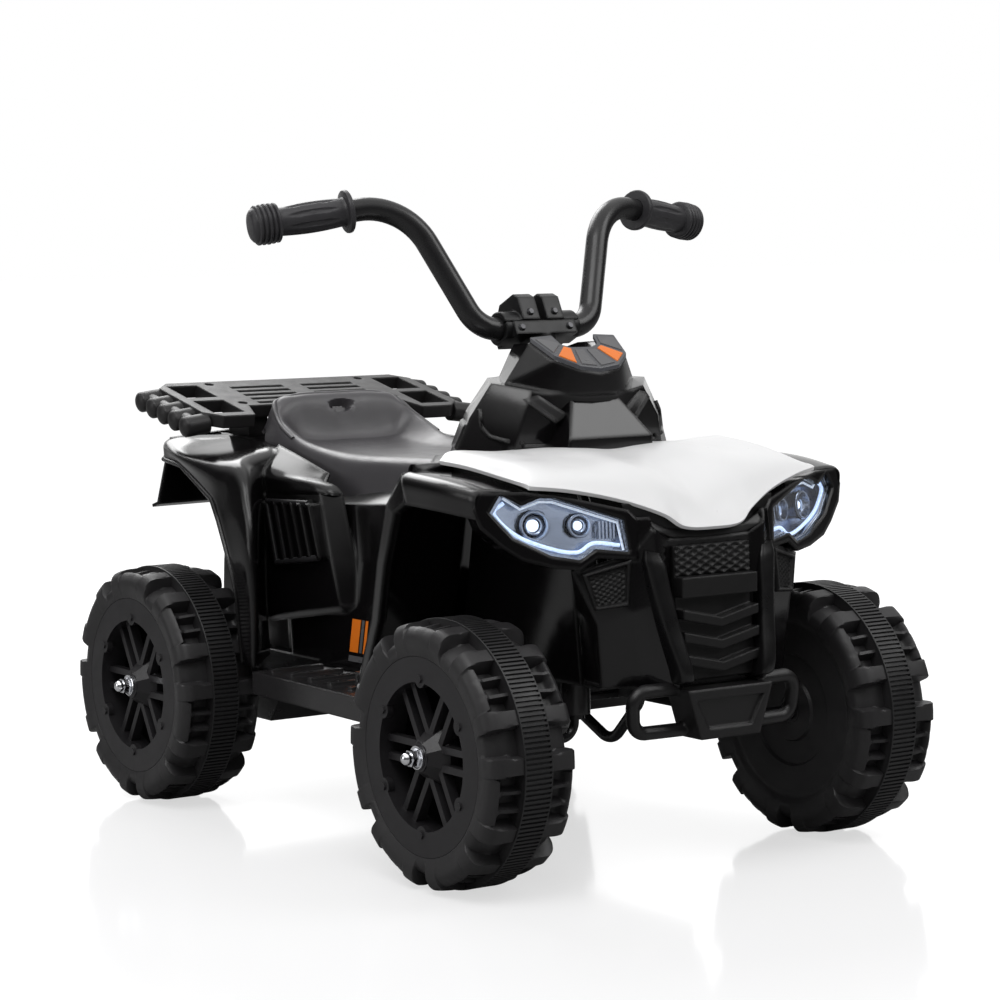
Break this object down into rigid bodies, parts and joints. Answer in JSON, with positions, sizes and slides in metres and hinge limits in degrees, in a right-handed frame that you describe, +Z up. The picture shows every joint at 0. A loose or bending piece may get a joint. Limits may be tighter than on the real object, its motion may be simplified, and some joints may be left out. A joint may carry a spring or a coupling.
{
  "type": "children's electric quad bike",
  "caption": "Small electric ride-on quad bike with lugged wheels, linked steering, moulded body, lift-off seat, headlights and a rear rack.",
  "frame": {"origin": "on the ground, midway between the axles on the middle plane", "axes": "+X forward, +Y to the rider's left, +Z up"},
  "size_m": [0.7399, 0.5188, 0.591],
  "materials": {
    "tyre_plastic": "satin moulded plastic",
    "band_rubber": "ribbed soft rubber",
    "rim_plastic": "satin moulded plastic",
    "bush_plastic": "plain plastic",
    "black_steel": "gloss black paint",
    "bright_nut": "polished",
    "axle_steel": "zinc plated",
    "clamp_plastic": "semi gloss",
    "grip_rubber": "soft grip",
    "chassis_plastic": "satin grained",
    "body_black": "high gloss",
    "hood_white": "gloss",
    "dash_trim": "silver with grey and orange facets",
    "grille_black": "satin",
    "lens_clear": "clear",
    "reflector_silver": "bright metallised",
    "lamp_light": "lit",
    "seat_grey": "fine grained",
    "rack_plastic": "satin",
    "dark_screw": "blackened",
    "gear_plastic": "natural nylon",
    "case_plastic": "plain",
    "motor_metal": "zinc",
    "battery_case": "plain",
    "pedal_plastic": "ribbed",
    "switch_plastic": "satin",
    "socket_plastic": "plain"
  },
  "bodies": {
    "frame": {"lower_chassis": "chassis_plastic", "rear_body": "body_black", "front_body": "body_black", "hood": "hood_white", "steering_cowl": "body_black", "dash_panel": "dash_trim", "grille": "grille_black", "grille_mesh": "grille_black", "tusk_bars": "body_black", "front_bumper": "chassis_plastic", "headlight_lenses": "lens_clear", "headlight_reflectors": "reflector_silver", "headlight_lamps": "lamp_light", "rear_rack": "rack_plastic", "body_screws": "dark_screw", "gearbox_case": "case_plastic", "gearbox_cover": "case_plastic", "motor": "motor_metal", "battery": "battery_case", "rear_axle": "axle_steel", "rear_axle_nuts": "bright_nut", "rear_axle_spacer": "axle_steel", "column_bushes": "bush_plastic", "switch_panel": "switch_plastic", "charging_socket": "socket_plastic"},
    "steering": {"steering_column": "black_steel", "handlebar": "black_steel", "bar_clamp": "clamp_plastic", "clamp_caps": "clamp_plastic", "clamp_screws": "bright_nut", "right_grip": "grip_rubber", "left_grip": "grip_rubber"},
    "right_knuckle": {"right_knuckle": "black_steel", "right_front_axle_nut": "bright_nut"},
    "left_knuckle": {"left_knuckle": "black_steel", "left_front_axle_nut": "bright_nut"},
    "tie_rod": {"tie_rod": "black_steel"},
    "idler_gear": {"idler_gear": "gear_plastic"},
    "motor_pinion": {"motor_pinion": "gear_plastic"},
    "seat": {"seat": "seat_grey"},
    "accelerator_pedal": {"accelerator_pedal": "pedal_plastic"},
    "power_switch": {"power_switch": "switch_plastic"},
    "direction_switch": {"direction_switch": "switch_plastic"},
    "front_right_wheel": {"front_right_tyre": "tyre_plastic", "front_right_tread_band": "band_rubber", "front_right_rim": "rim_plastic", "front_right_wheel_bush": "bush_plastic"},
    "front_left_wheel": {"front_left_tyre": "tyre_plastic", "front_left_tread_band": "band_rubber", "front_left_rim": "rim_plastic", "front_left_wheel_bush": "bush_plastic"},
    "rear_right_wheel": {"rear_right_tyre": "tyre_plastic", "rear_right_tread_band": "band_rubber", "rear_right_rim": "rim_plastic", "rear_right_wheel_bush": "bush_plastic"},
    "rear_left_wheel": {"rear_left_tyre": "tyre_plastic", "rear_left_tread_band": "band_rubber", "rear_left_rim": "rim_plastic", "rear_left_wheel_bush": "bush_plastic", "drive_gear": "gear_plastic"}
  },
  "joints": [
    {"name": "steering_turn", "type": "hinge", "parent": "frame", "child": "steering", "pos_m": [0.088, 0, 0.464], "axis": [-0.4384, 0, 0.8988], "range_deg": [-20, 20]},
    {"name": "right_knuckle_turn", "type": "hinge", "parent": "frame", "child": "right_knuckle", "pos_m": [0.254, -0.08, 0.16], "axis": [0, 0, 1], "range_deg": [-17.6, 17.6]},
    {"name": "left_knuckle_turn", "type": "hinge", "parent": "frame", "child": "left_knuckle", "pos_m": [0.254, 0.08, 0.16], "axis": [0, 0, 1], "range_deg": [-17.6, 17.6]},
    {"name": "tie_rod_swing", "type": "hinge", "parent": "right_knuckle", "child": "tie_rod", "pos_m": [0.15, -0.08, 0.129], "axis": [0, 0, 1], "range_deg": [-17.6, 17.6]},
    {"name": "front_right_spin", "type": "hinge", "parent": "right_knuckle", "child": "front_right_wheel", "pos_m": [0.254, -0.2005, 0.115], "axis": [0, 1, 0], "continuous": true},
    {"name": "front_left_spin", "type": "hinge", "parent": "left_knuckle", "child": "front_left_wheel", "pos_m": [0.254, 0.2005, 0.115], "axis": [0, 1, 0], "continuous": true},
    {"name": "rear_right_spin", "type": "hinge", "parent": "frame", "child": "rear_right_wheel", "pos_m": [-0.254, -0.2005, 0.115], "axis": [0, 1, 0], "continuous": true},
    {"name": "rear_left_spin", "type": "hinge", "parent": "frame", "child": "rear_left_wheel", "pos_m": [-0.254, 0.2005, 0.115], "axis": [0, 1, 0], "continuous": true},
    {"name": "idler_spin", "type": "hinge", "parent": "frame", "child": "idler_gear", "pos_m": [-0.2365, 0.127, 0.14531], "axis": [0, 1, 0], "continuous": true},
    {"name": "motor_spin", "type": "hinge", "parent": "frame", "child": "motor_pinion", "pos_m": [-0.21352, 0.121, 0.16829], "axis": [0, 1, 0], "continuous": true},
    {"name": "seat_lift", "type": "slide", "parent": "frame", "child": "seat", "axis": [0, 0, 1], "range_m": [0, 0.08]},
    {"name": "pedal_press", "type": "hinge", "parent": "frame", "child": "accelerator_pedal", "pos_m": [0.036, -0.137, 0.148], "axis": [0, 1, 0], "range_deg": [0, 10], "stiffness_Nm_per_rad": 1, "springref_deg": -9.74},
    {"name": "power_rock", "type": "hinge", "parent": "frame", "child": "power_switch", "pos_m": [0.05902, -0.02, 0.37664], "axis": [0, 1, 0], "range_deg": [-7, 7]},
    {"name": "direction_rock", "type": "hinge", "parent": "frame", "child": "direction_switch", "pos_m": [0.05902, 0.02, 0.37664], "axis": [0, 1, 0], "range_deg": [-7, 7]}
  ],
  "couplings": [
    {"joint": "right_knuckle_turn", "follows": "steering_turn", "ratio": 0.874},
    {"joint": "left_knuckle_turn", "follows": "steering_turn", "ratio": 0.874},
    {"joint": "tie_rod_swing", "follows": "steering_turn", "ratio": -0.874},
    {"joint": "idler_spin", "follows": "rear_left_spin", "ratio": -3.6667},
    {"joint": "motor_spin", "follows": "rear_left_spin", "ratio": 12.222}
  ]
}
